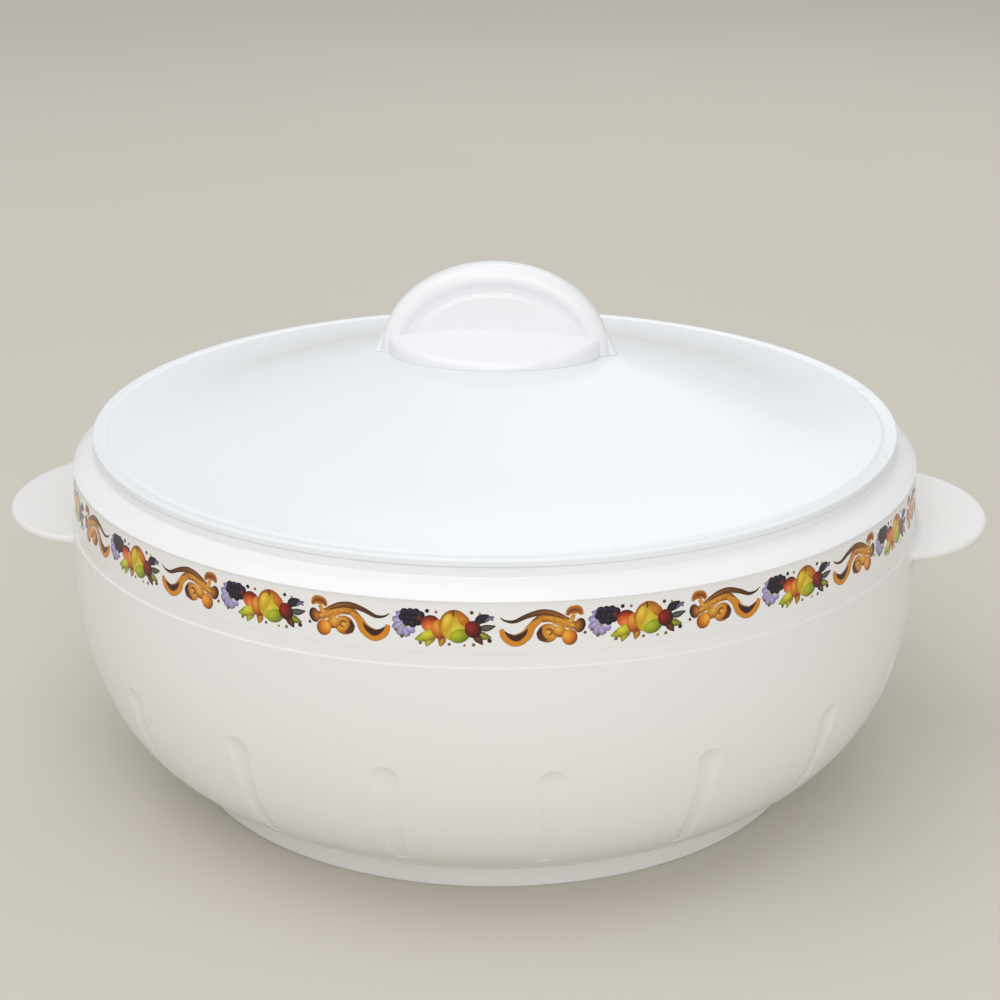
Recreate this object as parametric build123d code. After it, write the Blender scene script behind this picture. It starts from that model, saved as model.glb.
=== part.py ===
from build123d import *
import math
import os

# Insulated serving pot with a lift-off lid. Millimetres. The origin is the centre of the standing face,
# +Z is up and the two ear handles lie along X. Sections are drawn as radius and height and turned about Z.

# Gap between pieces that are seated in each other, the overshoot of every cut, and how near to its place
# the middle of an edge is that a fillet is to find
fit_clearance = 0.15
cut_margin = 1.0
edge_nearness = 0.01

# Width of the pot at its belt line, which the other radii follow
belt_radius = 145.7

# Foot and lower half of the shell
foot_inset = 36.5
foot_height = 6.8
foot_ring_width = 4.5
foot_recess = 3.5
foot_edge_round = 0.6
foot_lead = 20.3
foot_slope = 30.0
shell_wall = 2.5
belt_height = 93.5
belt_round = 0.5
belly_drop = 63.0
belly_bulge = 2.9

# Band between the belt line and the collar
belt_step = 0.6
band_height = 19.5
band_draft = 1.0
band_edge_round = 0.1

# Ear handles: half an oval each, its centre just inside the wall
ear_inset = 8.7
ear_reach = 33.4
ear_half_width = 43.5
ear_thickness = 3.0
ear_below_belt = 2.1
ear_edge_round = 1.3
ear_root_round = 1.7

# Flutes of the lower half
flute_count = 18
flute_top_drop = 38.5
flute_foot_height = 19.0
flute_radius = 11.0
flute_top_depth = 0.95
flute_foot_depth = 0.25

# Rim collar: shoulder, upstand under the lid and ledge for the seal
lip_overhang = 0.25
lip_height = 0.4
lip_round = 0.15
shoulder_rise = 4.2
shoulder_crown = 0.6
shoulder_width = 6.9
upstand_width = 4.8
upstand_height = 3.5
upstand_round = 0.3
shoulder_bevel = 0.6
ledge_drop = 4.1
ledge_thickness = 2.4
collar_skirt_width = 2.3
collar_skirt_length = 6.6

# Steel bowl, its gasket and the foam round it
bowl_inset = 2.5
bowl_wall = 0.7
bowl_flange_width = 10.0
bowl_flange_bend = 2.0
bowl_corner_radius = 44.0
bowl_above_floor = 9.0
gasket_thickness = 0.8
gasket_width = 5.0
gasket_inset = 1.0

# Filling hole in the underside and its cap
base_hole_radius = 13.0
base_cap_radius = 18.0
base_cap_sink = 1.2
base_cap_plug = 3.4
cap_plug_wall = 1.2

# Printed band
film_foot_gap = 4.0
film_height = 14.6
film_thickness = 0.12
film_clearance = 0.02

# Lid cover
bead_overhang = 0.3
bead_width = 4.4
bead_height = 2.3
bead_round = 0.8
bead_foot_bevel = 0.15
bead_gap = 0.2
groove_depth = 0.55
groove_width = 1.0
cover_wall = 2.2
dome_break_inset = 33.1
dome_break_height = 7.6
dome_shoulder_radius = 44.0
dome_slope = 16.2
dome_crown_rise = 2.65
skirt_wall = 2.3
skirt_above_ledge = 0.9
lid_side_clearance = 0.5

# Lid liner, seal, foam and cap
seal_thickness = 1.6
seal_width = 4.6
seal_inset = 1.0
seal_edge_gap = 0.4
liner_wall = 1.8
liner_plug_depth = 12.0
liner_plug_clearance = 0.9
liner_corner_radius = 5.0
liner_rim_width = 1.7
liner_rim_gap = 0.1
lid_hole_radius = 8.0
lid_cap_radius = 11.0
lid_cap_sink = 0.9
lid_cap_plug = 2.6

# Grip: oval cushion base and half-disc fin
grip_half_length = 36.8
grip_half_width = 27.5
grip_edge_above_lid = 1.3
grip_edge_round = 2.8
grip_crown = 6.9
grip_end_drop = 3.5
fin_base_height = 1.1
fin_height = 27.1
fin_half_length = 39.0
fin_centre_drop = 4.0
fin_thickness = 12.0
fin_edge_round = 4.4
fin_foot_depth = 5.0
flare_reach = 5.0
flare_height = 7.5
flare_thickness = 5.0
flare_round = 1.8
fin_dish_border = 5.2
fin_dish_depth = 1.5
fin_panel_border = 9.0
fin_panel_rise = 1.2
fin_dish_bevel = 2.4
fin_panel_bevel = 1.8
grip_wall = 2.6
grip_seat_gap = 0.05
grip_foot_depth = 12.0

# Grip screws
screw_spacing = 40.0
screw_shank_radius = 1.75
screw_length = 16.0
screw_head_radius = 3.6
screw_head_height = 2.2
screw_recess_radius = 1.3
screw_recess_depth = 1.2
screw_head_round = 0.9
screw_tip_radius = 0.4
screw_tip_length = 2.0
screw_recess_width = 0.7
screw_thread_gap = 0.05
screw_boss_radius = 4.6
screw_hole_clearance = 0.35
washer_radius = 5.0
washer_thickness = 0.8
cover_boss_radius = 6.2
cover_boss_height = 1.6

# Radii that follow from the sizes above
foot_radius = belt_radius - foot_inset
band_foot_radius = belt_radius - belt_step
band_top_radius = band_foot_radius - band_draft
ear_centre = belt_radius - ear_inset
lip_radius = band_top_radius + lip_overhang
collar_skirt_radius = band_top_radius - shell_wall - fit_clearance
collar_skirt_inner = collar_skirt_radius - collar_skirt_width
upstand_radius = band_top_radius - shoulder_width
upstand_inner = upstand_radius - upstand_width
skirt_outer = upstand_inner - lid_side_clearance
skirt_inner = skirt_outer - skirt_wall
liner_flange_radius = skirt_inner - liner_rim_gap
seal_outer = liner_flange_radius - seal_edge_gap
ledge_inner_radius = seal_outer - seal_width - seal_inset
bowl_opening_radius = ledge_inner_radius - bowl_inset
bowl_outer_radius = bowl_opening_radius + bowl_wall
bowl_flange_radius = bowl_outer_radius + bowl_flange_width
liner_plug_radius = bowl_opening_radius - liner_plug_clearance
bead_radius = upstand_radius + bead_overhang
dome_edge_radius = bead_radius - bead_width - groove_width
dome_break_radius = dome_edge_radius - dome_break_inset

# Heights that follow from the sizes above
seam_height = belt_height + band_height
flute_top_height = belt_height - flute_top_drop
shoulder_height = seam_height + lip_height + shoulder_rise
upstand_top = shoulder_height + upstand_height
ledge_top = upstand_top - ledge_drop
collar_underside = ledge_top - ledge_thickness
bowl_flange_top = collar_underside - gasket_thickness
floor_underside = foot_recess
floor_top = foot_recess + shell_wall
bowl_floor_underside = floor_top + bowl_above_floor
bead_bottom = upstand_top + bead_gap
bead_top = bead_bottom + bead_height
dome_gradient = math.tan(math.radians(dome_slope))
dome_cone_rise = (dome_break_radius - dome_shoulder_radius) * dome_gradient
lid_peak = bead_bottom + dome_break_height + dome_cone_rise + dome_crown_rise
liner_flange_bottom = ledge_top + seal_thickness
liner_flange_top = liner_flange_bottom + liner_wall
liner_floor_bottom = liner_flange_bottom - liner_plug_depth
liner_floor_top = liner_floor_bottom + liner_wall
grip_edge = lid_peak + grip_edge_above_lid
fin_base = grip_edge + fin_base_height
fin_centre = fin_base - fin_centre_drop
fin_top = fin_base + fin_height


def turned(section):
    """Solid of revolution about Z of a section drawn in the X-Z plane."""
    return revolve(section, Axis.Z, 360)


def polygon(*corners):
    """Closed section through radius and height pairs, in the X-Z plane."""
    points = [(r, 0, z) for r, z in corners]
    return make_face(Polyline(*points, close=True))


def ring(inner, outer, bottom, top):
    """Plain ring of rectangular section about Z."""
    return turned(polygon((inner, bottom), (outer, bottom), (outer, top), (inner, top)))


def disc(radius, bottom, top):
    """Plain upright cylinder between two heights."""
    return Pos(0, 0, bottom) * extrude(Circle(radius), top - bottom)


def quarter_arc(centre, start, end):
    """Arc from start to end round a centre, in the X-Z plane; the three are radius and height pairs."""
    radius = math.hypot(start[0] - centre[0], start[1] - centre[1])
    lean = (start[0] + end[0] - 2 * centre[0], start[1] + end[1] - 2 * centre[1])
    reach = radius / math.hypot(*lean)
    middle = (centre[0] + lean[0] * reach, 0, centre[1] + lean[1] * reach)
    return ThreePointArc((start[0], 0, start[1]), middle, (end[0], 0, end[1]))


# Outer shell

def belly_point(share, inset=0.0):
    """Point on the bowl's side from belt (share 0) to foot (share 1), moved in square to the wall."""
    slope = math.radians(foot_slope)
    top = Vector(belt_radius, 0, belt_height - belt_round)
    upper = Vector(belt_radius + belly_bulge, 0, belt_height - belly_drop)
    foot = Vector(foot_radius, 0, foot_height)
    lower = foot + Vector(math.cos(slope), 0, math.sin(slope)) * foot_lead
    rest = 1 - share
    place = top * rest**3 + upper * (3 * rest**2 * share) + lower * (3 * rest * share**2) + foot * share**3
    along = (upper - top) * rest**2 + (lower - upper) * (2 * rest * share) + (foot - lower) * share**2
    outward = Vector(-along.Z, 0, along.X).normalized()
    return place - outward * inset


def belly_curve(inset=0.0, steps=8):
    """The bowl's side from belt to foot as one smooth curve."""
    return Spline(*[belly_point(k / steps, inset) for k in range(steps + 1)])


def belly_share(height):
    """Share of the way from belt to foot at which the bowl's side passes a height."""
    low, high = 0.0, 1.0
    for _ in range(40):
        middle = (low + high) / 2
        if belly_point(middle).Z > height:
            low = middle
        else:
            high = middle
    return (low + high) / 2


def band_radius_at(height):
    """Outer radius of the band, which draws in slightly towards the collar."""
    return band_foot_radius - band_draft * (height - belt_height) / (band_height - band_edge_round)


def shell_outside():
    """Solid of the shell's outer form, not yet hollow."""
    side = belly_curve()
    belt = quarter_arc(
        (belt_radius - belt_round, belt_height - belt_round),
        (belt_radius, belt_height - belt_round),
        (belt_radius - belt_round, belt_height),
    )
    upper = Polyline(
        belt @ 1,
        (band_foot_radius, 0, belt_height),
        (band_top_radius, 0, seam_height - band_edge_round),
        (band_top_radius - band_edge_round, 0, seam_height),
        (0, 0, seam_height),
        (0, 0, 0),
        (foot_radius - foot_edge_round, 0, 0),
        (foot_radius, 0, foot_edge_round),
        side @ 1,
    )
    return turned(make_face(side + belt + upper))


def shell_inside():
    """Solid of the space inside the shell."""
    side = belly_curve(shell_wall)
    bottom = side @ 1
    rest = Polyline(
        bottom,
        (bottom.X - 2 * shell_wall, 0, floor_top),
        (0, 0, floor_top),
        (0, 0, seam_height),
        (band_top_radius - shell_wall, 0, seam_height),
        (band_top_radius - shell_wall, 0, belt_height),
        side @ 0,
    )
    return turned(make_face(side + rest))


def ears():
    """Two flat oval tabs with rounded edges, running into the wall."""
    bottom = belt_height - ear_below_belt - ear_thickness
    oval = extrude(Ellipse(ear_reach, ear_half_width), ear_thickness)
    tab = fillet(oval.edges(), ear_edge_round)
    return Pos(ear_centre, 0, bottom) * tab + Pos(-ear_centre, 0, bottom) * tab


def flute_cutter():
    """One flute: a round cutter along the bowl's side, deepest at its round upper end."""
    top_share = belly_share(flute_top_height)
    foot_share = belly_share(flute_foot_height)
    middle_depth = (flute_top_depth + flute_foot_depth) / 2
    top = belly_point(top_share, flute_top_depth - flute_radius)
    middle = belly_point((top_share + foot_share) / 2, middle_depth - flute_radius)
    foot = belly_point(foot_share, flute_foot_depth - flute_radius)
    path = ThreePointArc(top, middle, foot)
    section = Plane(path @ 0, z_dir=path % 0) * Circle(flute_radius)
    return sweep(section, path=path) + Pos(top) * Sphere(flute_radius)


def base_hole():
    """Filling hole with the step that its cap sits in, cut through the floor."""
    bore = disc(base_hole_radius, 0, floor_top + shell_wall)
    step = disc(base_cap_radius + fit_clearance, 0, floor_underside + base_cap_sink)
    return bore + step


def is_ear_root(edge):
    """Whether an edge is where an ear's upper face meets the wall."""
    middle = edge @ 0.5
    on_top = abs(middle.Z - (belt_height - ear_below_belt)) < edge_nearness
    return on_top and abs(math.hypot(middle.X, middle.Y) - belt_radius) < belt_step


def outer_shell():
    """Moulded shell with foot ring, belt, ears and flutes."""
    body = shell_outside() + ears()
    root = body.edges().filter_by(is_ear_root)
    body = fillet(root, ear_root_round)
    cutter = flute_cutter()
    for index in range(flute_count):
        body -= Rot(0, 0, (index + 0.5) * 360 / flute_count - 90) * cutter
    body -= shell_inside()
    body -= disc(foot_radius - foot_ring_width, -cut_margin, floor_underside)
    return body - base_hole()


# Rim collar

def rim_collar():
    """Ring that caps the shell: shoulder, upstand under the lid's edge, seal ledge and locating skirt."""
    lip_top = (lip_radius, 0, seam_height + lip_height)
    bevel_start = (upstand_radius + shoulder_bevel, 0, shoulder_height)
    middle_radius = (lip_radius + upstand_radius + shoulder_bevel) / 2
    middle_height = (seam_height + lip_height + shoulder_height) / 2 + shoulder_crown
    shoulder = ThreePointArc(lip_top, (middle_radius, 0, middle_height), bevel_start)
    rest = Polyline(
        bevel_start,
        (upstand_radius, 0, shoulder_height + shoulder_bevel),
        (upstand_radius, 0, upstand_top - upstand_round),
        (upstand_radius - upstand_round, 0, upstand_top),
        (upstand_inner, 0, upstand_top),
        (upstand_inner, 0, ledge_top),
        (ledge_inner_radius, 0, ledge_top),
        (ledge_inner_radius, 0, collar_underside),
        (collar_skirt_inner, 0, collar_underside),
        (collar_skirt_inner, 0, seam_height - collar_skirt_length),
        (collar_skirt_radius, 0, seam_height - collar_skirt_length),
        (collar_skirt_radius, 0, seam_height),
        (lip_radius - lip_round, 0, seam_height),
        (lip_radius, 0, seam_height + lip_round),
        lip_top,
    )
    return turned(make_face(shoulder + rest))


# Steel bowl, gasket, foam and base cap

def bowl_form(grow=0.0):
    """Solid of the bowl's outside up to its flange, grown square to the wall."""
    radius = bowl_outer_radius + grow
    floor = bowl_floor_underside - grow
    corner = bowl_corner_radius + grow
    top = bowl_flange_top - bowl_wall - grow
    bend = bowl_flange_bend - grow
    flat_edge = radius - corner
    base_corner = quarter_arc((flat_edge, floor + corner), (flat_edge, floor), (radius, floor + corner))
    mouth = quarter_arc((radius + bend, top - bend), (radius, top - bend), (radius + bend, top))
    side = Line(base_corner @ 1, mouth @ 0)
    rest = Polyline(mouth @ 1, (0, 0, top), (0, 0, floor), base_corner @ 0)
    return turned(make_face(base_corner + side + mouth + rest))


def inner_bowl():
    """Pressed steel bowl with a flat flange under the collar."""
    outside = bowl_form() + disc(bowl_flange_radius, bowl_flange_top - bowl_wall, bowl_flange_top)
    return outside - bowl_form(-bowl_wall)


def bowl_gasket():
    """Flat rubber ring on the bowl's flange."""
    outer = bowl_flange_radius - gasket_inset
    return ring(outer - gasket_width, outer, bowl_flange_top, collar_underside)


def body_foam():
    """Foam between the shell and the bowl, up to the collar."""
    gap = fit_clearance
    side = belly_curve(shell_wall + gap)
    bottom = side @ 1
    skirt_foot = seam_height - collar_skirt_length - gap
    wall = band_top_radius - shell_wall - gap
    inner_wall = collar_skirt_inner - gap
    under_flange = bowl_flange_top - bowl_wall - gap
    rest = Polyline(
        bottom,
        (bottom.X - 2 * shell_wall, 0, floor_top + gap),
        (0, 0, floor_top + gap),
        (0, 0, under_flange),
        (inner_wall, 0, under_flange),
        (inner_wall, 0, skirt_foot),
        (wall, 0, skirt_foot),
        (wall, 0, belt_height),
        side @ 0,
    )
    block = turned(make_face(side + rest))
    cap_room = disc(base_hole_radius, floor_top, floor_underside + base_cap_plug + gap)
    return block - bowl_form(gap) - cap_room


def snap_cap(radius, sink, plug_radius, plug_height, underside):
    """Round cap in a stepped hole: a thin flange and a hollow plug above it."""
    flange = disc(radius, underside, underside + sink)
    plug = ring(plug_radius - cap_plug_wall, plug_radius, underside + sink, underside + plug_height)
    return flange + plug


def base_cap():
    """Cap of the foam filling hole in the underside."""
    return snap_cap(
        base_cap_radius, base_cap_sink, base_hole_radius - fit_clearance, base_cap_plug, floor_underside
    )


def decal_film():
    """Thin printed band on the drafted wall above the belt."""
    low = belt_height + film_foot_gap
    high = low + film_height
    return turned(
        polygon(
            (band_radius_at(low) + film_clearance, low),
            (band_radius_at(low) + film_clearance + film_thickness, low),
            (band_radius_at(high) + film_clearance + film_thickness, high),
            (band_radius_at(high) + film_clearance, high),
        )
    )


# Lid

def dome_curve(drop=0.0):
    """The lid's upper face from the groove inside the bead to the centre, lowered by the wall if wanted."""
    break_height = bead_bottom + dome_break_height - drop
    lead = (dome_edge_radius - dome_break_radius) / 2
    peak = lid_peak - drop
    edge = (dome_edge_radius, 0, bead_top - drop)
    turn = (dome_break_radius + lead, 0, break_height - lead * dome_gradient)
    low = (dome_break_radius, 0, break_height)
    high = (dome_shoulder_radius, 0, break_height + dome_cone_rise)
    crown = (dome_shoulder_radius - dome_crown_rise / dome_gradient, 0, peak)
    return Bezier(edge, turn, low) + Line(low, high) + Bezier(high, crown, (0, 0, peak))


def lid_rim():
    """Upper outline of the lid's edge: rolled bead and the groove inside it."""
    crest = bead_radius - bead_round
    roll_foot = bead_top - bead_round
    inner = bead_radius - bead_width
    groove_floor = bead_top - groove_depth
    fall_radius = ((crest - inner) ** 2 + groove_depth**2) / (2 * groove_depth)
    side = Polyline(
        (bead_radius - bead_foot_bevel, 0, bead_bottom),
        (bead_radius, 0, bead_bottom + bead_foot_bevel),
        (bead_radius, 0, roll_foot),
    )
    roll = quarter_arc((crest, roll_foot), (bead_radius, roll_foot), (crest, bead_top))
    fall = quarter_arc((crest, bead_top - fall_radius), (crest, bead_top), (inner, groove_floor))
    groove = Line((inner, 0, groove_floor), (dome_edge_radius, 0, bead_top))
    return side + roll + fall + groove


def lid_cover():
    """Domed cover with edge bead, locating skirt and two screw bosses."""
    closing = Polyline((0, 0, lid_peak), (0, 0, bead_bottom), (bead_radius - bead_foot_bevel, 0, bead_bottom))
    solid = turned(make_face(lid_rim() + dome_curve() + closing))
    under = dome_curve(cover_wall)
    hollow = turned(
        make_face(
            under
            + Polyline(
                (0, 0, lid_peak - cover_wall),
                (0, 0, bead_bottom - cover_wall),
                (dome_edge_radius, 0, bead_bottom - cover_wall),
                (dome_edge_radius, 0, bead_top - cover_wall),
            )
        )
    )
    hollow &= disc(skirt_inner, bead_bottom - cover_wall, lid_peak)
    cover = solid - hollow
    cover += ring(skirt_inner, skirt_outer, ledge_top + skirt_above_ledge, bead_bottom)
    for place in screw_places():
        cover += place * cover_boss()
        cover -= place * disc(screw_shank_radius + screw_hole_clearance, 0, lid_peak + cut_margin)
    return cover


def screw_places():
    """Where the two grip screws stand."""
    return [Pos(-screw_spacing / 2, 0, 0), Pos(screw_spacing / 2, 0, 0)]


def cover_boss():
    """Flat pad under the dome for a screw's washer."""
    return disc(cover_boss_radius, boss_face(), lid_peak - cover_wall)


def boss_face():
    """Height of the flat faces that the washers bear on."""
    return lid_peak - cover_wall - cover_boss_height


def liner_form(grow=0.0):
    """Solid of the liner's plug from outside, grown square to the wall."""
    plug = liner_plug_radius + grow
    floor = liner_floor_bottom - grow
    corner = liner_corner_radius + grow
    arc = quarter_arc((plug - corner, floor + corner), (plug - corner, floor), (plug, floor + corner))
    rest = Polyline(arc @ 1, (plug, 0, liner_flange_top), (0, 0, liner_flange_top), (0, 0, floor), arc @ 0)
    return turned(make_face(arc + rest))


def lid_liner():
    """Inner cover: plug into the bowl, flange over the seal and a rim up to the cover."""
    liner = liner_form() + disc(liner_flange_radius, liner_flange_bottom, liner_flange_top)
    liner -= liner_form(-liner_wall)
    rim_top = bead_top - cover_wall - liner_rim_gap
    liner += ring(liner_flange_radius - liner_rim_width, liner_flange_radius, liner_flange_bottom, rim_top)
    low = liner_floor_bottom - cut_margin
    bore = disc(lid_hole_radius, low, liner_floor_top + cut_margin)
    step = disc(lid_cap_radius + fit_clearance, low, liner_floor_bottom + lid_cap_sink)
    return liner - bore - step


def lid_seal():
    """Soft ring that the lid rests on, flat on the collar's ledge."""
    return ring(seal_outer - seal_width, seal_outer, ledge_top, liner_flange_bottom)


def lid_cap():
    """Cap of the lid's foam filling hole."""
    return snap_cap(
        lid_cap_radius, lid_cap_sink, lid_hole_radius - fit_clearance, lid_cap_plug, liner_floor_bottom
    )


def lid_foam():
    """Foam between the cover and the liner, moulded round the screw heads."""
    gap = fit_clearance
    under = dome_curve(cover_wall + gap)
    block = turned(
        make_face(
            under
            + Polyline(
                (0, 0, lid_peak - cover_wall - gap),
                (0, 0, liner_floor_top + gap),
                (dome_edge_radius, 0, liner_floor_top + gap),
                (dome_edge_radius, 0, bead_top - cover_wall - gap),
            )
        )
    )
    outer = disc(liner_flange_radius - liner_rim_width - gap, liner_flange_top + gap, lid_peak)
    mouth = disc(liner_plug_radius - liner_wall - gap, liner_flange_bottom, liner_flange_top + gap)
    foam = block & (outer + mouth + liner_form(-liner_wall - gap))
    for place in screw_places():
        low = boss_face() - washer_thickness - screw_head_height - gap
        foam -= place * disc(cover_boss_radius + gap, low, lid_peak)
    return foam - disc(lid_hole_radius, liner_floor_top, liner_floor_bottom + lid_cap_plug + gap)


# Grip

def crown_solid():
    """Barrel lying along X whose upper skin is the cushion's crown, nearly straight along X."""
    centre_drop = (grip_half_width**2 - grip_crown**2) / (2 * grip_crown)
    axis_height = grip_edge - centre_drop
    peak = grip_edge + grip_crown
    arc_radius = (grip_half_length**2 + grip_end_drop**2) / (2 * grip_end_drop)
    reach = grip_half_length + cut_margin
    end = peak - arc_radius + math.sqrt(arc_radius**2 - reach**2)
    crown = ThreePointArc((-reach, 0, end), (0, 0, peak), (reach, 0, end))
    rest = Polyline((reach, 0, end), (reach, 0, axis_height), (-reach, 0, axis_height), (-reach, 0, end))
    return revolve(make_face(crown + rest), Axis((0, 0, axis_height), (1, 0, 0)), 360)


def under_grip():
    """Solid below the lid's upper face, with a small gap, which the grip is cut to fit."""
    rest = Polyline(
        (0, 0, lid_peak + grip_seat_gap),
        (0, 0, 0),
        (dome_edge_radius, 0, 0),
        (dome_edge_radius, 0, bead_top + grip_seat_gap),
    )
    return turned(make_face(dome_curve(-grip_seat_gap) + rest))


def fin_oval(border=0.0, low=0.0):
    """Fin's outline less a border, cut straight at a height above the oval's centre, in the X-Z plane."""
    half_length = fin_half_length - border
    height = fin_top - fin_centre - border
    window = Pos(0, (low + height) / 2) * Rectangle(2 * half_length, height - low)
    return Plane.XZ * Pos(0, fin_centre) * (Ellipse(half_length, height) & window)


def slab(face, thickness):
    """Plate of even thickness with its middle on the X-Z plane."""
    return Pos(0, thickness / 2, 0) * extrude(face, thickness)


def fin_plate():
    """Fin with a rounded edge, on a straight foot that goes down past the lid's upper face."""
    foot = Plane.XZ * Pos(0, fin_centre - fin_foot_depth / 2) * Rectangle(2 * fin_half_length, fin_foot_depth)
    plate = slab(fin_oval() + foot, fin_thickness)
    rim = plate.edges().filter_by(GeomType.ELLIPSE) + plate.edges().filter_by(Axis.Z)
    return fillet(rim, fin_edge_round)


def fin_flares():
    """Thin webs that spread from the two ends of the fin down to the lid."""
    low = fin_centre - fin_foot_depth
    high = fin_base + flare_height
    share = (high - fin_centre) / (fin_top - fin_centre)
    foot_reach = fin_half_length + flare_reach
    head_reach = fin_half_length * math.sqrt(1 - share**2)
    web = slab(
        polygon((-foot_reach, low), (foot_reach, low), (head_reach, high), (-head_reach, high)),
        flare_thickness,
    )
    return fillet(web.edges().filter_by(is_flare_side), flare_round)


def is_flare_side(edge):
    """Whether an edge runs down one end of the webs."""
    middle = edge @ 0.5
    return abs(middle.X) > screw_spacing / 2 and abs(middle.Y) > flare_round


def fin_face(side):
    """Dish to cut from one face of the fin, and the raised panel to add in its middle."""
    face = side * fin_thickness / 2
    floor = face - side * fin_dish_depth
    root = floor - side * fin_dish_depth
    panel_face = floor + side * fin_panel_rise
    dish = loft(
        [
            Pos(0, face, 0) * fin_oval(fin_dish_border, fin_centre_drop),
            Pos(0, floor, 0) * fin_oval(fin_dish_border + fin_dish_bevel, fin_centre_drop),
        ]
    )
    panel = loft(
        [
            Pos(0, root, 0) * fin_oval(fin_panel_border - fin_panel_bevel, fin_centre_drop),
            Pos(0, panel_face, 0) * fin_oval(fin_panel_border + fin_panel_bevel, fin_centre_drop),
        ]
    )
    return dish, panel


def cushion():
    """Oval base of the grip with its crown and rounded edge."""
    floor = lid_peak - grip_foot_depth
    height = grip_edge + grip_crown + cut_margin - floor
    base = Pos(0, 0, floor) * extrude(Ellipse(grip_half_length, grip_half_width), height)
    form = base & crown_solid()
    return fillet(form.edges().filter_by(is_cushion_rim), grip_edge_round)


def is_cushion_rim(edge):
    """Whether an edge is where the cushion's side meets its crown."""
    middle = edge @ 0.5
    share = math.hypot(middle.X / grip_half_length, middle.Y / grip_half_width)
    on_outline = abs(share - 1) * grip_half_width < edge_nearness
    return on_outline and middle.Z > grip_edge - grip_edge_round


def grip_room():
    """Space inside the hollow grip, clear of the two screw bosses."""
    floor = lid_peak - grip_foot_depth
    inside = Ellipse(grip_half_length - grip_wall, grip_half_width - grip_wall)
    base_room = Pos(0, 0, floor) * extrude(inside, fin_height) & Pos(0, 0, -grip_wall) * crown_solid()
    face = fin_oval(fin_edge_round, fin_centre_drop - grip_wall)
    fin_room = slab(face, fin_thickness - 2 * (grip_wall + fin_dish_depth))
    room = base_room + fin_room
    for place in screw_places():
        room -= place * disc(screw_boss_radius, 0, fin_top)
    return room


def lid_grip():
    """Hollow grip: cushion base, fin, and two bosses for the screws."""
    fin = fin_plate() + fin_flares()
    for side in (-1, 1):
        dish, panel = fin_face(side)
        fin = fin - dish + panel
    grip = cushion() + fin - under_grip() - grip_room()
    for place in screw_places():
        grip -= place * disc(screw_shank_radius + screw_thread_gap, 0, boss_face() + screw_length)
    return grip


def grip_screw():
    """Pan-head self-tapping screw, head down, with a plain cross recess."""
    head_top = boss_face() - washer_thickness
    head = disc(screw_head_radius, head_top - screw_head_height, head_top)
    head = fillet(head.edges().group_by(Axis.Z)[0], screw_head_round)
    tip_foot = head_top + screw_length - screw_tip_length
    shank = disc(screw_shank_radius, head_top, tip_foot)
    cone = Cone(screw_shank_radius, screw_tip_radius, screw_tip_length)
    tip = Pos(0, 0, tip_foot + screw_tip_length / 2) * cone
    recess = Box(2 * screw_recess_radius, screw_recess_width, 2 * screw_recess_depth)
    recess += Box(screw_recess_width, 2 * screw_recess_radius, 2 * screw_recess_depth)
    return head + shank + tip - Pos(0, 0, head_top - screw_head_height) * recess


def grip_washer():
    """Plain washer between a screw's head and the cover's boss."""
    bore = screw_shank_radius + fit_clearance
    return ring(bore, washer_radius, boss_face() - washer_thickness, boss_face())


def at_screws(piece):
    """The same small piece at both screw places, as separate solids."""
    return Compound(children=[place * piece for place in screw_places()])


parts = {
    "outer_shell": outer_shell,
    "rim_collar": rim_collar,
    "inner_bowl": inner_bowl,
    "bowl_gasket": bowl_gasket,
    "body_foam": body_foam,
    "base_cap": base_cap,
    "decal_film": decal_film,
    "lid_cover": lid_cover,
    "lid_liner": lid_liner,
    "lid_foam": lid_foam,
    "lid_seal": lid_seal,
    "lid_cap": lid_cap,
    "lid_grip": lid_grip,
    "grip_screws": lambda: at_screws(grip_screw()),
    "grip_washers": lambda: at_screws(grip_washer()),
}

os.makedirs("parts", exist_ok=True)
for name, make in parts.items():
    export_step(make(), f"parts/{name}.step")
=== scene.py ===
import math

import bpy
import numpy as np
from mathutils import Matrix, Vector
from mathutils.geometry import delaunay_2d_cdt


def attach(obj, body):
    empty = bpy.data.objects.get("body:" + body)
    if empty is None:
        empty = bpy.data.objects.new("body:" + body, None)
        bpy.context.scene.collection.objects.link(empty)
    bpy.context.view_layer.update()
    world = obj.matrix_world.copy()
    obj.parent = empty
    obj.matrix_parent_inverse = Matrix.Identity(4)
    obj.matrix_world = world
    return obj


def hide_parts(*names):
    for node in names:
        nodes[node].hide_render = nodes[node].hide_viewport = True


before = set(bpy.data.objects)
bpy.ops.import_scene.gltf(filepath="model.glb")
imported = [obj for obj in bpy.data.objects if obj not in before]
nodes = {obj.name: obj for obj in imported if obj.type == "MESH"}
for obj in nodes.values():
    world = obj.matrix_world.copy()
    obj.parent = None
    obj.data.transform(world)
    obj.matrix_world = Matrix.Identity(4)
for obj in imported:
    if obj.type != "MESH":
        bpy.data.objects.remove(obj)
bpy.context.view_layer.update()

MM = 0.001

# Camera and light
CAMERA_PLACE = (0.0398, -0.7085, 0.3515)
CAMERA_TURN = (math.radians(69.88), 0.0, math.radians(3.08))
CAMERA_LENS = 77.4
SENSOR_WIDTH = 36.0
NEAREST_SEEN = 0.01
FURTHEST_SEEN = 50
FLOOR_SIZE = 14.0
FLOOR_COLOUR = (210, 205, 194)
WORLD_COLOUR = (1.0, 1.0, 1.0)
WORLD_STRENGTH = 0.65

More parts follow.
